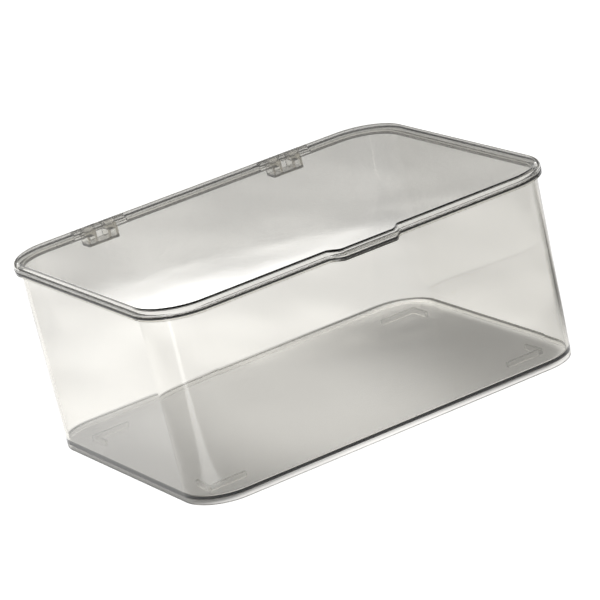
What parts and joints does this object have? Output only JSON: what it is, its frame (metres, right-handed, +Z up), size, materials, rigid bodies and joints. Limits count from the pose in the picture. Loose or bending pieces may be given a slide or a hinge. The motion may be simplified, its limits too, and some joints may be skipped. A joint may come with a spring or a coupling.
{
  "type": "hinged lid storage box",
  "caption": "Clear smoke-tinted plastic stacking box with rounded corners, a finger tab and a flat lid hinged at the back.",
  "frame": {"origin": "middle of the outer box, on the surface that the foot rim and stacking feet stand on", "axes": "+Z up, +X to the right along the box, +Y towards the hinges"},
  "size_m": [0.33, 0.272, 0.146],
  "materials": {
    "box_plastic": "polished clear smoke-grey moulding",
    "lid_plastic": "polished clear smoke-grey moulding",
    "pin_plastic": "clear extruded rod"
  },
  "bodies": {
    "box": {"box_body": "box_plastic", "left_hinge_pin": "pin_plastic", "right_hinge_pin": "pin_plastic"},
    "lid": {"lid": "lid_plastic"}
  },
  "joints": [
    {"name": "lid_hinge", "type": "hinge", "parent": "box", "child": "lid", "pos_m": [0, 0.129, 0.1405], "axis": [-1, 0, 0], "range_deg": [0, 107]}
  ]
}
